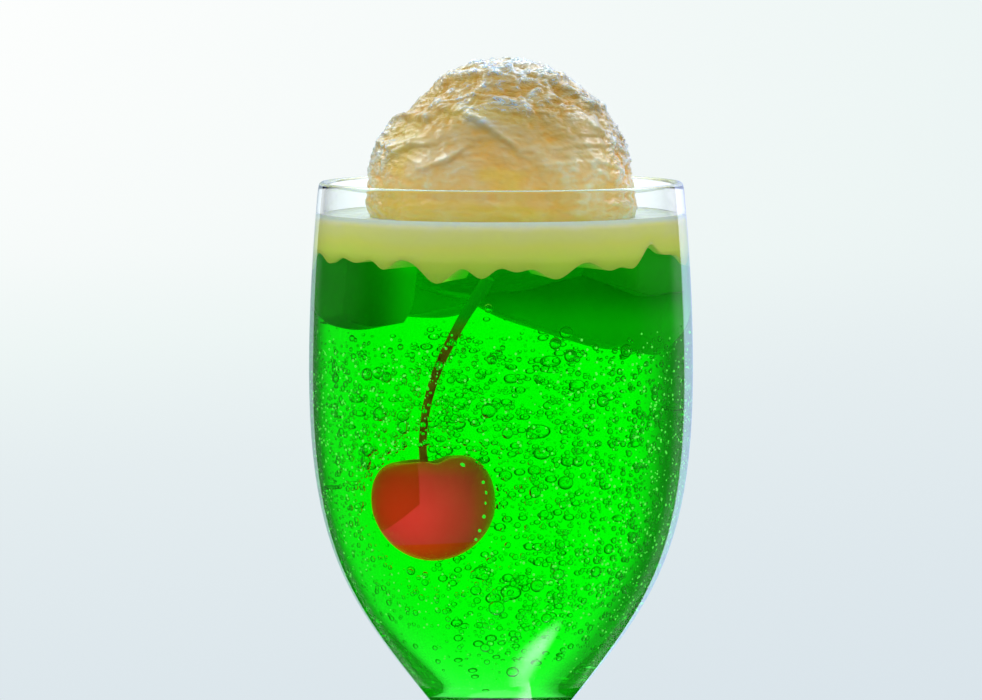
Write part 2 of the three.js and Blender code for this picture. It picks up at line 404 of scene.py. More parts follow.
def outerBowl():
    g = goblet
    top = rimHeight / mm
    belly = g["belly"]
    lowPull, bellyPull = g["outerPulls"]
    upperPull, mouthPull = g["upperPulls"]
    low = curve(g["shortSteps"], (g["stem"], g["stemTop"]), (g["stem"], g["stemPull"]), g["neckPull"],
                g["shoulder"])
    middle = curve(g["longSteps"], g["shoulder"], lowPull, (belly, bellyPull), (belly, g["bellyHeight"]))
    high = curve(g["longSteps"], (belly, g["bellyHeight"]), (belly, upperPull),
                 (g["outerMouth"], mouthPull), (g["rim"], top))
    return low + middle[1:] + high[1:]


wallLine = innerBowl()


def wallRadius(height):
    for low, high in zip(wallLine, wallLine[1:]):
        if low.z <= height <= high.z:
            return low.x + (high.x - low.x) * (height - low.z) / (high.z - low.z)
    return wallLine[-1].x


def makeGoblet():
    g = goblet
    top = rimHeight / mm
    half = g["rimWall"] / 2
    ring = g["foot"] - g["footRound"]
    risePull, stemPull = g["footPulls"]
    edge = curve(g["edgeSteps"], (ring, 0), (g["foot"], 0), (g["foot"] + g["footBulge"], g["footEdge"]),
                 (ring, g["footTop"]))
    rise = curve(g["riseSteps"], (ring, g["footTop"]), risePull, (g["stem"], stemPull),
                 (g["stem"], g["stemBottom"]))
    outside = [p for p in outerBowl() if p.z < rimHeight - half * mm]
    inside = [p for p in reversed(innerBowl()) if p.z < rimHeight - half * mm]
    lip = []
    for step in range(g["lipSteps"] + 1):
        turn = math.pi * step / g["lipSteps"]
        across = g["rim"] - half + half * math.cos(turn)
        lip.append(Vector((across, 0, top - half + half * math.sin(turn))) * mm)
    mesh = turned([Vector((0, 0, 0)), *edge, *rise[1:], *outside, *lip, *inside], g["steps"])
    glass = newMaterial("clear_glass", Base_Color=g["tint"], Roughness=0.0, IOR=g["bend"],
                        Transmission_Weight=1.0)[0]
    return toPiece(mesh, "goblet_glass", glass, "goblet")


makeGoblet()
print("goblet is ready")


# Drink

drink = dict(
    intoWall=0.12,     # past the inner wall, so that no air gap shows
    top=154.6,         # hidden in the melted cream
    bend=1.333,
    dye=130.0,
    passes=(0.0, 0.9908, 0.1),       # the colours of light that the dye lets through
)


def makeDrink():
    top = drink["top"] * mm
    wall = [p for p in innerBowl(drink["intoWall"]) if p.z < top]
    mesh = turned([*wall, Vector((wall[-1].x, 0, top)), Vector((0, 0, top))], goblet["steps"])
    material, tree = newMaterial("green_soda", Base_Color=(1, 1, 1), Roughness=0.0, IOR=drink["bend"],
                                 Transmission_Weight=1.0)[:2]
    dye = addNode(tree, "VolumeAbsorption", Color=drink["passes"], Density=drink["dye"])
    setSocket(tree, tree.nodes["Material Output"].inputs["Volume"], dye.outputs[0])
    return toPiece(mesh, "green_drink", material, "soda")


makeDrink()
print("drink is ready")


# Melted cream on the drink

cream = dict(
    intoWall=0.2,
    depth=7.5,
    innerRadius=17.4,
    meniscus=((1.2, 0.7), (3, 0.75)),      # how far in from the glass its surface falls, and how far down
    rippleScale=220, ripple=0.25,
    underSteps=16, topSteps=24, steps=360,
    frontLobes=(       # azimuth, half width and depth of each drip of its lower edge
        (-66, 8, 1.8), (-51, 8, 1.2), (-39, 5.5, 2.2), (-20, 9.5, 4.6), (-6, 7, 3.5),
        (4.5, 7, 2.1), (17, 10, 3.7), (35.5, 8, 2.3), (44.5, 6, 2), (53.5, 6, -2.4),
    ),
    backLobes=dict(count=13, start=78, apart=16.2, half=9.5, depth=2.6),
    lobeSharp=2.2,
    # Its colours from the bottom upwards, then on its flat top, paler and bluer there as a painted reflection
    # of the light above, and in its specks
    tints=(
        (0.0, (0.52, 0.86, 0.08)), (0.35, (0.7, 0.87, 0.14)), (0.6, (0.86, 0.91, 0.22)),
        (0.85, (0.9, 0.93, 0.4)), (0.97, (0.92, 0.96, 0.72)),
    ),
    topReflectionTint=(0.74, 0.95, 0.82),
    speckTint=(0.75, 0.62, 0.03), speckScale=70, speckSize=(0.03, 0.05),
    cloudScale=70, cloudShift=0.004,
    glow=(0.3, 0.12),      # how much it shines at the bottom and near the top
)


def lobes():
    back = cream["backLobes"]
    found = list(cream["frontLobes"])
    for i in range(back["count"]):
        wander = math.sin(i * 2.4)
        middle = back["start"] + i * back["apart"] + wander * 3
        found.append((middle, back["half"] + wander * 2, back["depth"] + math.sin(i * 1.7) * 1.2))
    return found


def lobeDrop(degrees, places):
    drop = 0
    for middle, half, depth in places:
        away = (degrees - middle + 180) % 360 - 180
        drop += depth * math.exp(-cream["lobeSharp"] * (away / half) ** 2)
    return drop * mm


def creamMaterial():
    c = cream
    material, tree, shader = newMaterial("melted_cream")
    place = addNode(tree, "TexCoord").outputs["Object"]
    height = addNode(tree, "SeparateXYZ", Vector=place).outputs["Z"]
    cloud = addNode(tree, "TexNoise", Vector=place, Scale=c["cloudScale"], Detail=3).outputs["Fac"]
    wave = addMath(tree, "MULTIPLY_ADD", cloud, c["cloudShift"], height)
    share = addRange(tree, wave, creamBottom + 0.002, sodaLevel + 0.002, smooth=False)
    tint = addRamp(tree, share, c["tints"])
    facing = addNode(tree, "SeparateXYZ", Vector=addNode(tree, "NewGeometry").outputs["Normal"]).outputs["Z"]
    # up-facing parts turn paler and bluer: a painted reflection of the light above
    tint = mixColours(tree, addRange(tree, facing, 0.3, 0.8), tint, c["topReflectionTint"])
    speck = addNode(tree, "TexVoronoi", Vector=place, Scale=c["speckScale"]).outputs["Distance"]
    tint = mixColours(tree, addRange(tree, speck, *c["speckSize"], 1.0, 0.0), tint, c["speckTint"])
    lit = addRange(tree, share, 0.0, 0.9, *c["glow"])
    setLook(tree, shader, Base_Color=tint, Roughness=0.15, IOR=1.35, Subsurface_Weight=1.0,
            Subsurface_Scale=0.003, Subsurface_Radius=(1.0, 1.0, 0.4), Emission_Color=tint,
            Emission_Strength=lit)
    return material


def makeCream():
    c = cream
    level = sodaLevel / mm
    low = level - c["depth"]
    inner = c["innerRadius"]
    wall = [p for p in innerBowl(c["intoWall"]) if (low + 0.4) * mm < p.z < (level - 0.2) * mm]
    outer = wall[0].x / mm
    steps = c["underSteps"]
    under = [Vector((inner + (outer - inner) * i / steps, 0, low)) * mm for i in range(steps + 1)]
    mouth = wall[-1].x / mm
    steep, gentle = c["meniscus"]
    flat = level - gentle[1]
    top = curve(c["topSteps"], (mouth, level), (mouth - steep[0], level - steep[1]),
                (mouth - gentle[0], flat), (inner, flat))
    mesh = turned([*under, *wall, *top, under[0]], c["steps"])
    places = lobes()
    for vert in mesh.verts:
        drop = lobeDrop(math.degrees(math.atan2(vert.co.x, -vert.co.y)), places)
        if vert.co.z < (low + 0.01) * mm:
            vert.co.z -= drop
        elif vert.co.z < (low + 0.1) * mm - drop:
            vert.co.z = (low + 0.1) * mm - drop
        elif vert.co.z > (level - 1) * mm and math.hypot(vert.co.x, vert.co.y) < (mouth - 1.5) * mm:
            vert.co.z += noise.fractal(vert.co * c["rippleScale"], 0.9, 2.1, 3) * c["ripple"] * mm
    return toPiece(mesh, "cream_ring", creamMaterial(), "cream_layer")


makeCream()
print("melted cream is ready")


# Ice cream

scoop = dict(
    radius=26.4,
    height=162.9,
    sag=0.8,           # how far its lower half is flattened where it melts
    cuts=122,
    broad=0.8,         # dents, then crinkles on its top and sides and on its front
    crinkled=0.6,
    smoother=0.16,
    combed=0.3,
    skirt=0.9,         # how far it has slumped outwards near the drink
    seed=1,            # another number gives other crinkles
    wander=((0.09, 4), (0.3, 1.1)),       # scale and strength of what bends the crinkles
    upperFrom=(0.45, 0.85), sideFrom=(0.68, 0.95), sideRise=(0.05, 0.4),     # where it is torn
    crinkleScale=0.34, ridgeScale=0.45, ridged=0.8,
    dentScale=0.08, dentPlace=(4, 1, 2),
    strandScale=(0.1, 0.1, 0.75), strandFrom=(0.05, 0.7), strandRise=(-0.1, 0.3),
    # Torn crests, and hollows with a negative height. Each runs between two directions,
    # in degrees from the front towards +X and degrees up, with its height and width.
    tears=(
        ((-16, 37), (3, 25), 1.3, 3), ((-16, 37), (-40, 42), 0.7, 3), ((-36, 12), (-24, 16), 0.9, 2.6),
        ((-24, 16), (-18, 21), 0.7, 2.6), ((-80, 21), (-61, 19), 1.0, 3), ((-61, 19), (-48, 24), 0.8, 2.6),
        ((-61, 16), (-47, 22), 0.9, 2.6), ((-47, 22), (-38, 23), 0.8, 2.6), ((-92, 33), (-71, 37), 0.8, 4),
        ((-71, 37), (-48, 36), 1.0, 4), ((14, 72), (14, 41), 0.9, 2.4), ((-20, 50), (5, 46), 0.8, 3),
        ((-62, 60), (-20, 66), 1.0, 4), ((30, 66), (60, 50), 1.0, 4), ((16, 41), (28, 40), 0.5, 2),
        ((40, 47), (75, 40), 0.8, 3), ((60, 8), (100, 14), 0.9, 5), ((120, 42), (165, 26), 1.3, 6),
        ((-165, 52), (-130, 40), 1.2, 6), ((150, 2), (-160, 10), 0.9, 6),
        ((-64, 27), (-54, 29), -1.5, 5), ((-42, 61), (-34, 62), -1.0, 4), ((-64, 56), (-58, 56), -0.9, 3.5),
        ((-10, 54), (12, 53), -1.1, 3.5), ((30, 68), (38, 66), -0.9, 3), ((48, 56), (48, 51), -1.1, 2.6),
        ((-38, 52), (-30, 51), -0.8, 4), ((76, 9), (74, 9), -0.9, 3.5), ((68, 36), (66, 32), -0.8, 3),
        ((-30, 30), (-12, 24), -0.6, 9), ((8, 36), (20, 28), -0.5, 9),
        ((-104, 43), (-66, 44), -2.2, 6), ((-104, 54), (-68, 56), -0.9, 5), ((-96, 76), (-44, 74), 0.7, 3),
        ((92, 59), (52, 60), 0.8, 3), ((92, 40), (62, 42), 0.7, 3), ((86, 24), (98, 18), 0.6, 3),
    ),
    # Colours from its hollows to its crests: painted orange shade in the hollows, a painted silvery highlight
    # on the crests
    tints=(
        (0.0, (0.87, 0.44, 0.04)), (0.18, (0.79, 0.47, 0.09)), (0.4, (0.75, 0.5, 0.14)),
        (0.65, (0.73, 0.57, 0.24)), (0.85, (0.69, 0.69, 0.46)), (1.0, (0.72, 0.84, 0.82)),
    ),
    patchTint=(0.78, 0.55, 0.07),
    # painted silvery glint along the torn crinkles
    foldGlintTint=(0.74, 0.9, 0.92),
    # a band just under the drink's level, turned green and given a painted glow
    greenBandTint=(0.03, 0.8, 0.02),
    upperShadeTints=((0.78, 0.94, 1.55), (0.71, 0.8, 0.84)),      # painted light multiplied over the others, at its left and its right: near its top painted shade, bluish at its left as a painted reflection
    # lower down painted light, brighter, at its left and its right
    lowerLightTints=((1.2, 1.15, 1.18), (1.3, 1.25, 1.2)),
)


def direction(azimuth, rise):
    a, r = math.radians(azimuth), math.radians(rise)
    return Vector((math.sin(a) * math.cos(r), -math.cos(a) * math.cos(r), math.sin(r)))


def findTears():
    found = []
    for first, last, height, width in scoop["tears"]:
        start, end = direction(*first), direction(*last)
        along = (end - start).normalized()
        below = along.cross(start + end).normalized()
        if below.z > 0.1 or abs(below.z) <= 0.1 and below.x < 0:
            below = -below
        found.append((start, along, (end - start).length, below, height, width))
    return found


def tearLift(way, tears):
    lift = 0
    for start, along, length, below, height, width in tears:
        nearest = start + along * min(max((way - start).dot(along), 0), length)
        off = (way - nearest) * scoop["radius"] / (width / 2)
        away = off.length
        if away > 6:
            continue
        if height < 0:
            lift += height * math.exp(-away * away / 2)
        else:
            under = ease(off.dot(below), -0.3, 0.5)
            lift += height * (math.exp(-1.2 * away) - 0.9 * under * math.exp(-0.7 * away))
    return lift


def scoopRelief(way, tears):
    s = scoop
    place = way * s["radius"]
    (slow, far), (quick, near) = s["wander"]
    wander = noise.noise_vector(place * slow) * far + noise.noise_vector(place * quick) * near
    upper = ease(way.z, *s["upperFrom"])
    side = ease(math.hypot(way.x, max(way.y, 0)), *s["sideFrom"])
    torn = max(upper, side * (0.4 + 0.6 * ease(way.z, *s["sideRise"])))
    rough = s["smoother"] + (s["crinkled"] - s["smoother"]) * torn
    flat = Vector((place.x, place.y, place.z * 2)) + wander * 0.7
    ridges = abs(noise.noise(flat * s["ridgeScale"]))
    fine = noise.fractal(flat * s["crinkleScale"], 0.8, 2.1, 4) - s["ridged"] * ridges + 0.2
    broad = noise.fractal(place * s["dentScale"] + Vector(s["dentPlace"]), 1.0, 2.0, 3)
    strands = Vector([part * scale for part, scale in zip(place, s["strandScale"])]) + wander * 0.2
    combed = noise.fractal(strands, 0.9, 2.1, 3) * ease(way.x, *s["strandFrom"])
    combed *= ease(way.z, *s["strandRise"])
    large = tearLift((way + wander * 0.008).normalized(), tears) + broad * s["broad"]
    crest = 0.5 + 0.36 * large + fine * (0.2 + 0.6 * torn)
    large += s["skirt"] * ease(-way.z, -0.02, 0.12)
    return large + fine * rough + combed * s["combed"], crest, torn


# Painted silvery glints along crinkles where the spoon tore it, strongest near its top
def foldGlintMask(tree, wide, torn, mixed, high):
    fold = addNode(tree, "TexNoise", Vector=wide, Scale=330, Detail=3, Distortion=0.8).outputs["Fac"]
    line = addMath(tree, "ABSOLUTE", addMath(tree, "SUBTRACT", fold, 0.5))
    line = addRange(tree, line, 0.0, 0.028, 1.0, 0.0)
    line = addMath(tree, "MULTIPLY", line, addRange(tree, torn, 0.1, 0.7))
    crinkleGlint = addMath(tree, "MULTIPLY", line, addRange(tree, mixed, 0.25, 0.6))
    return addMath(tree, "MULTIPLY", crinkleGlint, addRange(tree, high, 0.0, 1.0, 0.35, 1.0))


def scoopMaterial():
    s = scoop
    material, tree, shader = newMaterial("vanilla_ice_cream")
    place = addNode(tree, "TexCoord").outputs["Object"]
    wide = addNode(tree, "Mapping", Vector=place, Scale=(1, 1, 2.2)).outputs[0]
    parts = addNode(tree, "SeparateXYZ", Vector=place).outputs
    across, height = parts["X"], parts["Z"]
    crest = addNode(tree, "Attribute", dict(attribute_name="crest")).outputs["Fac"]
    torn = addNode(tree, "Attribute", dict(attribute_name="torn")).outputs["Fac"]
    high = addRange(tree, height, rimHeight - 0.002, rimHeight + 0.014)

    blotch = addNode(tree, "TexNoise", Vector=place, Scale=210, Detail=5, Roughness=0.6).outputs["Fac"]
    mixed = addMath(tree, "MULTIPLY_ADD", addMath(tree, "SUBTRACT", blotch, 0.5), 0.7, crest)
    # painted shade in the hollows and a painted highlight on the crests
    tint = addRamp(tree, mixed, s["tints"])
    patch = addNode(tree, "TexNoise", Vector=wide, Scale=55, Detail=2).outputs["Fac"]
    patch = addRange(tree, patch, 0.48, 0.62)
    yellow = addMath(tree, "MULTIPLY", patch, addRange(tree, torn, 0.0, 1.0, 0.7, 0.25))
    tint = mixColours(tree, yellow, tint, s["patchTint"])
    # painted glints along the torn crinkles
    crinkleGlint = foldGlintMask(tree, wide, torn, mixed, high)
    tint = mixColours(tree, crinkleGlint, tint, s["foldGlintTint"])
    # Painted light and shade by height: darker near its top with a bluish painted reflection at its left,
    # brighter lower down
    right = addRange(tree, across, -0.012, 0.016)
    upper = mixColours(tree, right, *s["upperShadeTints"])
    lower = mixColours(tree, right, *s["lowerLightTints"])
    tint = mixColours(tree, 1.0, tint, mixColours(tree, high, lower, upper), "MULTIPLY")
    # A band just under the drink's level turns green and gets a painted glow
    greenGlowBand = addRange(tree, height, sodaLevel - 0.009, sodaLevel - 0.002, 1.0, 0.0)
    tint = mixColours(tree, greenGlowBand, tint, s["greenBandTint"])

    grain = addNode(tree, "TexNoise", Vector=wide, Scale=700, Detail=2).outputs["Fac"]
    grain = addMath(tree, "MULTIPLY_ADD", crinkleGlint, 0.6, grain)
    rough = addMath(tree, "MULTIPLY_ADD", torn, 0.0005, 0.00006)
    wet = addMath(tree, "MULTIPLY_ADD", torn, 0.6, 0.4)
    wet = addMath(tree, "MULTIPLY", wet, addRange(tree, mixed, 0.15, 0.6, 0.2, 1.0))
    bump = addNode(tree, "Bump", Strength=1.0, Distance=rough, Height=grain)
    setLook(tree, shader, Base_Color=tint, Roughness=0.35, IOR=1.35, Subsurface_Weight=0.8,
            Subsurface_Scale=0.002, Subsurface_Radius=(1.0, 0.62, 0.28), Coat_Weight=wet,
            Coat_Roughness=0.13, Coat_IOR=1.9, Sheen_Weight=0.3, Sheen_Tint=(0.82, 0.97, 1.0),
            Normal=bump.outputs["Normal"], Coat_Normal=bump.outputs["Normal"],
            Emission_Color=tint, Emission_Strength=addMath(tree, "MULTIPLY", greenGlowBand, 0.12))
    return material


def makeScoop():
    noise.seed_set(scoop["seed"])
    mesh = bmesh.new()
    bmesh.ops.create_cube(mesh, size=2)
    bmesh.ops.subdivide_edges(mesh, edges=mesh.edges, cuts=scoop["cuts"], use_grid_fill=True)
    tears = findTears()
    middle = Vector((0, 0, scoop["height"]))
    crest = mesh.verts.layers.float.new("crest")
    torn = mesh.verts.layers.float.new("torn")
    for vert in mesh.verts:
        way = Vector([math.tan(value * math.pi / 4) for value in vert.co]).normalized()
        lift, value, vert[torn] = scoopRelief(way, tears)
        vert[crest] = min(max(value, 0), 1)
        reach = way * (scoop["radius"] + lift)
        if reach.z < 0:
            reach.z *= scoop["sag"]
        vert.co = (middle + reach) * mm
    return toPiece(mesh, "ice_cream_ball", scoopMaterial(), "ice_cream_scoop")


makeScoop()
print("ice cream is ready")


# Ice under the ice cream

ice = dict(
    cuts=22,
    ball=1.25, round=0.62,       # how far each lump has melted from a block towards a ball
    waveScale=0.12, wave=1.1,
    wallGap=0.5, soft=4,         # kept off the glass, easing in over this far
    # The blocks are opaque and painted green, the first darker: painted shade as seen through the drink under
    # the ice cream. bottomGlow is a painted glow along each block's bottom
    blocks=(
        dict(middle=(-25, -8, 147), size=(18, 22, 18.5), turn=(4, 6, 12), tint=(0.03, 0.7, 0.01), bottomGlow=0.05),
        dict(middle=(-9, 9, 147), size=(17, 16, 16), turn=(0, -18, -8), tint=(0.04, 0.95, 0.02), bottomGlow=0.18),
        dict(middle=(13, -1, 145.3), size=(34, 22, 21), turn=(3, 20, 5), tint=(0.04, 0.85, 0.02), bottomGlow=0.26),
        dict(middle=(24, -9, 149), size=(18, 22, 10), turn=(0, 10, -30), tint=(0.04, 0.85, 0.02), bottomGlow=0.1),
    ),
    paler=(-0.024, -0.014),      # where the first block turns paler and glows towards the middle: painted light
    pale=(0.04, 0.95, 0.02), paleGlow=0.16,
)


def iceMaterial(number, block):
    material, tree, shader = newMaterial("sunken_ice_" + str(number))
    place = addNode(tree, "TexCoord").outputs["Object"]
    cloud = addNode(tree, "TexNoise", Vector=place, Scale=90, Detail=2).outputs["Fac"]
    tint = mixColours(tree, cloud, [part * 0.8 for part in block["tint"]], block["tint"])
    height = addNode(tree, "SeparateXYZ", Vector=place).outputs["Z"]
    low = (block["middle"][2] - block["size"][2] / 2) * mm
    # painted glow along its bottom edge
    lit = addRange(tree, height, low + 0.001, low + 0.01, block["bottomGlow"], 0.02)
    if number == 1:
        across = addNode(tree, "SeparateXYZ", Vector=place).outputs["X"]
        # painted light: paler and glowing towards the middle
        paleGlowShare = addRange(tree, across, *ice["paler"])
        tint = mixColours(tree, paleGlowShare, tint, ice["pale"])
        lit = addMath(tree, "MULTIPLY_ADD", paleGlowShare, ice["paleGlow"], lit)
    setLook(tree, shader, Base_Color=tint, Roughness=0.35, IOR=1.2, Emission_Color=tint,
            Emission_Strength=lit)
    return material


def makeIceBlock(number, block):
    mesh = bmesh.new()
    bmesh.ops.create_cube(mesh, size=2)
    bmesh.ops.subdivide_edges(mesh, edges=mesh.edges, cuts=ice["cuts"], use_grid_fill=True)
    half = Vector(block["size"]) / 2
    put = Matrix.Translation(block["middle"])
    for axis, angle in zip("XYZ", block["turn"]):
        put = put @ Matrix.Rotation(math.radians(angle), 4, axis)
    for vert in mesh.verts:
        ball = vert.co.normalized()
        melted = vert.co.lerp(ball * ice["ball"], ice["round"])
        place = Vector((melted.x * half.x, melted.y * half.y, melted.z * half.z))
        wave = noise.noise(place * ice["waveScale"] + Vector((number * 5.3, 0, 0)))
        place += ball * wave * ice["wave"]
        vert.co = (put @ place) * mm
    soft = ice["soft"] * mm
    for vert in mesh.verts:
        reach = wallRadius(vert.co.z) - ice["wallGap"] * mm
        across = math.hypot(vert.co.x, vert.co.y)
        if across > reach - soft:
            held = reach - soft * math.exp((reach - soft - across) / soft)
            vert.co.x *= held / across
            vert.co.y *= held / across
    return toPiece(mesh, "sunken_ice_" + str(number), iceMaterial(number, block))


for number, block in enumerate(ice["blocks"], 1):
    makeIceBlock(number, block)
print("ice is ready")


# Cherry and its stalk

cherry = dict(
    middle=(-12.3, -18.6, 102.2), radius=11.1, lean=-6, groove=0.7, steps=96,
    waist=1.4, crown=(5.6, 9.5), dimple=(6.2, 6.4), base=9.9,      # heights along its outline
    fuller=0.035, tilt=0.04, deep=0.98,
    skin=((0.3, (0.7, 0.036, 0.024)), (0.7, (0.86, 0.048, 0.036))),
    # Painted light and shade on its skin: a dark field of painted shade at its left and a lighter lit
    # field at its base, both with straight edges, and olive and green painted light at its right. Places are
    # in metres.
    shadeFieldEdge=-0.0154, shadeFieldSlope=0.877, shadeFieldLow=0.1168, shadeFieldTint=(0.5, 0.03, 0.0), fieldSoft=0.0002,
    baseSlope=0.077, baseTop=0.0965, litBaseTint=(0.8, 0.045, 0.0),
    oliveAcross=(-0.0065, -0.0015), oliveRise=(0.108, 0.112), oliveLightTint=(0.6, 0.1, 0.0),
    greenAcross=(-0.0035, 0.0), greenLightTint=(0.12, 0.16, 0.0),
    glow=0.9,
)

stalk = dict(
    radius=0.75, thickness=(1.0, 0.95, 1.05, 1.25, 1.6),
    route=(
        (-13.3, -18.6, 108.4), (-13.6, -18.7, 116), (-12, -19.4, 126), (-8.2, -21, 136), (-2.2, -23.8, 147.2),
    ),
    skin=((0.35, (0.26, 0.025, 0.003)), (0.65, (0.5, 0.08, 0.01))),
    # its upper part painted dark green: painted shade
    upperShadeTint=(0.005, 0.26, 0.005), upperFrom=(0.134, 0.14),
    glow=0.8,
)


def cherryMaterial():
    c = cherry
    material, tree, shader = newMaterial("cherry_skin")
    place = addNode(tree, "TexCoord").outputs["Object"]
    blotch = addNode(tree, "TexNoise", Vector=place, Scale=60, Detail=2).outputs["Fac"]
    tint = addRamp(tree, blotch, c["skin"])
    parts = addNode(tree, "SeparateXYZ", Vector=place).outputs
    across, height = parts["X"], parts["Z"]
    soft = c["fieldSoft"]
    # painted shade: a dark field at its left, with straight edges
    leftOf = addRange(tree, across, c["shadeFieldEdge"] - soft, c["shadeFieldEdge"] + soft, 1.0, 0.0)
    above = addMath(tree, "MULTIPLY_ADD", across, -c["shadeFieldSlope"], height)
    above = addRange(tree, above, c["shadeFieldLow"] - soft, c["shadeFieldLow"] + soft)
    # painted light: a lighter red field at its base
    below = addMath(tree, "MULTIPLY_ADD", across, -c["baseSlope"], height)
    below = addRange(tree, below, c["baseTop"] - soft, c["baseTop"] + soft, 1.0, 0.0)
    shadeField = addMath(tree, "MULTIPLY", leftOf, above)
    tint = mixColours(tree, addMath(tree, "MULTIPLY", shadeField, 0.85), tint, c["shadeFieldTint"])
    tint = mixColours(tree, addMath(tree, "MULTIPLY", below, 0.9), tint, c["litBaseTint"])
    # painted light: olive and green at its right and top, where green light comes through the drink
    olive = addRange(tree, across, *c["oliveAcross"])
    olive = addMath(tree, "MAXIMUM", olive, addRange(tree, height, *c["oliveRise"]))
    tint = mixColours(tree, addMath(tree, "MULTIPLY", olive, 0.6), tint, c["oliveLightTint"])
    green = addRange(tree, across, *c["greenAcross"], 0.0, 0.8)
    tint = mixColours(tree, green, tint, c["greenLightTint"])
    # no glow once a ray has passed more than three clear surfaces
    direct = addMath(tree, "LESS_THAN", addNode(tree, "LightPath").outputs["Transmission Depth"], 3.5)
    setLook(tree, shader, Base_Color=tint, Roughness=0.25, IOR=1.2, Subsurface_Weight=0.6,
            Subsurface_Scale=0.004, Subsurface_Radius=(1.0, 0.15, 0.08),
            Emission_Color=tint, Emission_Strength=addMath(tree, "MULTIPLY", direct, c["glow"]))
    return material


def makeCherry():
    c = cherry
    r = c["radius"]
    shoulder, top = c["crown"]
    pit, pitEdge = c["dimple"]
    base = -c["base"]
    dimple = curve(10, (0, pit), (1.8, pitEdge), (3, top), (shoulder, top))
    side = curve(12, (shoulder, top), (8.9, top), (r, 6), (r, c["waist"]))
    under = curve(18, (r, c["waist"]), (r, -5), (5.9, base), (0, base))
    mesh = turned(dimple + side[1:] + under[1:], c["steps"])
    for vert in mesh.verts:
        x, y, z = vert.co
        fuller = 1 + c["fuller"] * ease(x / mm, -r, r)
        groove = c["groove"] * mm * ease(z / mm, 2, 8) * math.exp(-((x / mm - 1.6) / 1.6) ** 2)
        vert.co = (x * fuller, y * c["deep"], z - groove + (c["tilt"] * x if z > 0 else 0))
    put = Matrix.Translation(Vector(c["middle"]) * mm)
    put = put @ Matrix.Rotation(math.radians(c["lean"]), 4, "Y")
    bmesh.ops.transform(mesh, matrix=put, verts=mesh.verts)
    return toPiece(mesh, "cherry_fruit", cherryMaterial(), "cherry")


def stalkMaterial():
    material, tree, shader = newMaterial("cherry_stalk")
    place = addNode(tree, "TexCoord").outputs["Object"]
    streak = addNode(tree, "TexNoise", Vector=place, Scale=400, Detail=3).outputs["Fac"]
    tint = addRamp(tree, streak, stalk["skin"])
    height = addNode(tree, "SeparateXYZ", Vector=place).outputs["Z"]
    # painted shade: dark green on its upper part
    tint = mixColours(tree, addRange(tree, height, *stalk["upperFrom"]), tint, stalk["upperShadeTint"])
    setLook(tree, shader, Base_Color=tint, Roughness=0.5, Emission_Color=tint,
            Emission_Strength=stalk["glow"])
    return material


def makeStalk():
    points = [Vector(point) * mm for point in stalk["route"]]
    data = bpy.data.curves.new("stalk_line", "CURVE")
    data.dimensions = "3D"
    data.bevel_depth = stalk["radius"] * mm
    data.bevel_resolution = 5
    data.resolution_u = 12
    data.use_fill_caps = True
    spline = data.splines.new("BEZIER")
    spline.bezier_points.add(len(points) - 1)
    for place, (point, target) in enumerate(zip(spline.bezier_points, points)):
        point.co = target
        point.handle_left_type = point.handle_right_type = "AUTO"
        point.radius = stalk["thickness"][place]
    line = bpy.data.objects.new("stalk_line", data)
    bpy.context.scene.collection.objects.link(line)
    bpy.context.view_layer.update()
    made = bmesh.new()
    made.from_mesh(line.evaluated_get(bpy.context.evaluated_depsgraph_get()).to_mesh())
    bpy.data.objects.remove(line)
    return toPiece(made, "cherry_stalk", stalkMaterial(), "cherry_stem")


makeCherry()
makeStalk()
print("cherry is ready")


# Bubbles

bubbles = dict(
    seed=11,
    dust=3600, glints=2200, dustSize=(0.14, 0.3), dustOnWall=0.9,
    fine=2700, fineSize=(0.3, 0.7), fineOnWall=0.8,
    coarse=60, coarseSize=(0.8, 1.5), coarseOnWall=0.7,
    smaller=1.6,       # the higher, the more of each grade are near its smallest size
    deepest=24,        # how far in from the wall
    low=66, high=138, lowFade=22, highFade=8,
    crowds=(           # azimuth, height, and how far each spreads
        (-50, 122, 26, 16), (-158, 120, 18, 18), (58, 108, 24, 26), (152, 108, 20, 26),
    ),
    between=0.28,      # how dense they are outside the crowds
    large=(            # azimuth, height and radius of single ones on the front wall
        (-2, 83, 1.6), (-4, 122, 1.5), (11, 106, 1.2), (-47, 113.5, 1.4), (-3, 132, 1.0), (-4, 142, 0.9),
        (17, 135, 1.2), (22, 132.5, 1.3), (-62, 127, 1.0), (-38, 128, 1.1), (60, 118, 1.1), (52, 96, 1.2),
    ),
    beads=(            # place and radius of those on the cherry's right side
        (-3.2, -24.4, 107.6, 0.35), (-2.8, -24, 105.6, 0.4), (-2.9, -24.4, 103.6, 0.35),
        (-3.1, -24.6, 101, 0.4), (-3.9, -25, 98.3, 0.35), (-4.6, -25, 96.6, 0.3), (-7, -25, 110.8, 0.6),
    ),
    clinging=22, clingingSize=(0.18, 0.34), clingingGap=0.15,       # along the stalk
    bend=0.84,         # of the air in them against the drink
    glint=(0.1, 0.9, 0.08), glintGlow=(0.14, 1, 0.1), glintStrength=0.75,
)


def crowding(azimuth, height):
    b = bubbles
    share = ease(height, b["low"], b["low"] + b["lowFade"])
    share *= 1 - ease(height, b["high"] - b["highFade"], b["high"])
    crowd = 0
    for middle, level, wide, tall in b["crowds"]:
        turn = ((azimuth - middle + 180) % 360 - 180) / wide
        crowd = max(crowd, math.exp(-(turn ** 2 + ((height - level) / tall) ** 2) / 2))
    return share * (b["between"] + (1 - b["between"]) * crowd)


def onWall(azimuth, height, inwards):
    turn = math.radians(azimuth)
    reach = wallRadius(height * mm) / mm - inwards
    return Vector((math.sin(turn) * reach, -math.cos(turn) * reach, height))


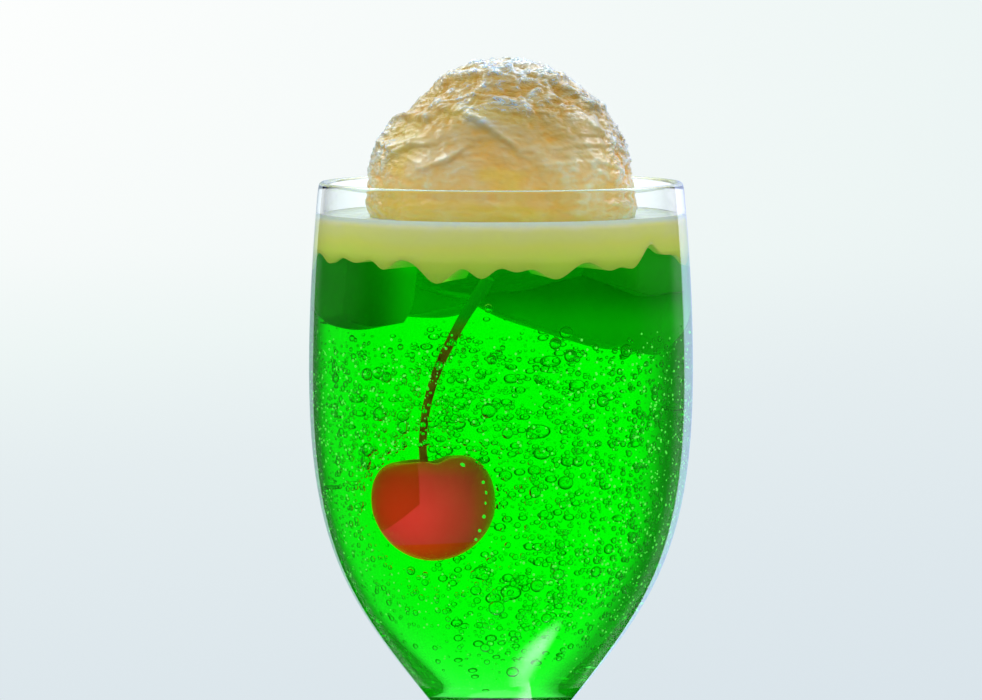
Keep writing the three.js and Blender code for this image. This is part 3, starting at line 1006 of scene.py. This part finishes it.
# Clear of the cherry, of what is right in front of it, and of the ice, the stalk and the ice cream
def isClear(place, size):
    fruit = place - Vector(cherry["middle"])
    if Vector((fruit.x, fruit.y, fruit.z * 1.12)).length < cherry["radius"] * 1.06 + size:
        return False
    if fruit.y < 0 and math.hypot(fruit.x + 1, fruit.z) < cherry["radius"] * 1.15:
        return False
    for block in ice["blocks"]:
        away = place - Vector(block["middle"])
        if Vector([part / (side * 0.62 + size) for part, side in zip(away, block["size"])]).length < 1:
            return False
    for start, end in zip(stalk["route"], stalk["route"][1:]):
        start, end = Vector(start), Vector(end)
        along = min(max((place - start).dot(end - start) / (end - start).length_squared, 0), 1)
        if (place - start.lerp(end, along)).length < stalk["radius"] + size:
            return False
    sunk = place - Vector((0, 0, scoop["height"]))
    return Vector((sunk.x, sunk.y, sunk.z / scoop["sag"])).length > scoop["radius"] + size + 1


def bubblePlaces(draw, count, sizes, clingingShare):
    b = bubbles
    found = []
    while len(found) < count:
        azimuth = draw.uniform(-180, 180)
        height = draw.uniform(b["low"], b["high"])
        size = sizes[0] + (sizes[1] - sizes[0]) * draw.random() ** b["smaller"]
        depth = size + 0.04 if draw.random() < clingingShare else draw.uniform(size, b["deepest"])
        edgeOn = size > 0.36 and 64 < abs(azimuth) < 140 or depth < 5 and 150 < abs(azimuth) < 167
        if edgeOn or draw.random() > crowding(azimuth, height):
            continue
        if depth > wallRadius(height * mm) / mm:
            continue
        place = onWall(azimuth, height, depth)
        if isClear(place, size):
            found.append((place, size))
    return found


def clingingPlaces(draw):
    found = []
    route = [Vector(point) for point in stalk["route"]]
    for _ in range(bubbles["clinging"]):
        part = draw.randrange(len(route) - 2)
        along = route[part].lerp(route[part + 1], draw.random())
        size = draw.uniform(*bubbles["clingingSize"])
        turn = draw.uniform(0, math.tau)
        off = stalk["radius"] + size + bubbles["clingingGap"]
        found.append((along + Vector((math.sin(turn) * off, -math.cos(turn) * off, 0)), size))
    return found


def largePlaces():
    return [(onWall(azimuth, height, size + 0.1), size) for azimuth, height, size in bubbles["large"]]


def crossesStalk(place, size):
    away = place - Vector(stalk["route"][0])
    return away.y < 0 and abs(away.x) < size + 2 and -2 < away.z < 9


def scatter(name, template, places, material):
    mesh = bmesh.new()
    for place, size in places:
        copy = template.copy()
        copy.transform(Matrix.LocRotScale(place * mm, None, Vector((size, size, size)) * mm))
        mesh.from_mesh(copy)
        bpy.data.meshes.remove(copy)
    return toPiece(mesh, name, material)


def ballTemplate(name, **shape):
    mesh = bmesh.new()
    if "subdivisions" in shape:
        bmesh.ops.create_icosphere(mesh, radius=1, **shape)
    else:
        bmesh.ops.create_uvsphere(mesh, radius=1, **shape)
    data = bpy.data.meshes.new(name)
    mesh.to_mesh(data)
    mesh.free()
    return data


def airMaterial():
    material = bpy.data.materials.new("bubble_air")
    material.use_nodes = True
    tree = material.node_tree
    tree.nodes.clear()
    air = addNode(tree, "BsdfGlass", Color=(1, 1, 1), Roughness=0.0, IOR=bubbles["bend"])
    end = addNode(tree, "OutputMaterial")
    setSocket(tree, end.inputs["Surface"], air.outputs[0])
    return material


def makeBubbles():
    b = bubbles
    draw = random.Random(b["seed"])
    air = airMaterial()
    glint = newMaterial("bubble_glint", Base_Color=b["glint"], Roughness=0.3, IOR=1.2,
                        Emission_Color=b["glintGlow"], Emission_Strength=b["glintStrength"])[0]
    speck = ballTemplate("dust_ball", u_segments=6, v_segments=4)
    small = ballTemplate("fine_ball", u_segments=7, v_segments=5)
    large = ballTemplate("coarse_ball", subdivisions=3)
    fine = bubblePlaces(draw, b["fine"], b["fineSize"], b["fineOnWall"])
    coarse = bubblePlaces(draw, b["coarse"], b["coarseSize"], b["coarseOnWall"]) + largePlaces()
    coarse = [spot for spot in coarse if not crossesStalk(*spot)]
    dust = bubblePlaces(draw, b["dust"], b["dustSize"], b["dustOnWall"])
    beads = [(Vector(place), size) for *place, size in b["beads"]] + clingingPlaces(draw)
    glints = bubblePlaces(draw, b["glints"], b["dustSize"], b["dustOnWall"]) + beads
    scatter("bubble_dust", speck, dust, air)
    scatter("bubble_glints", speck, glints, glint)
    scatter("fine_bubbles", small, fine, air)
    scatter("coarse_bubbles", large, coarse, air)


makeBubbles()
print("bubbles are ready")
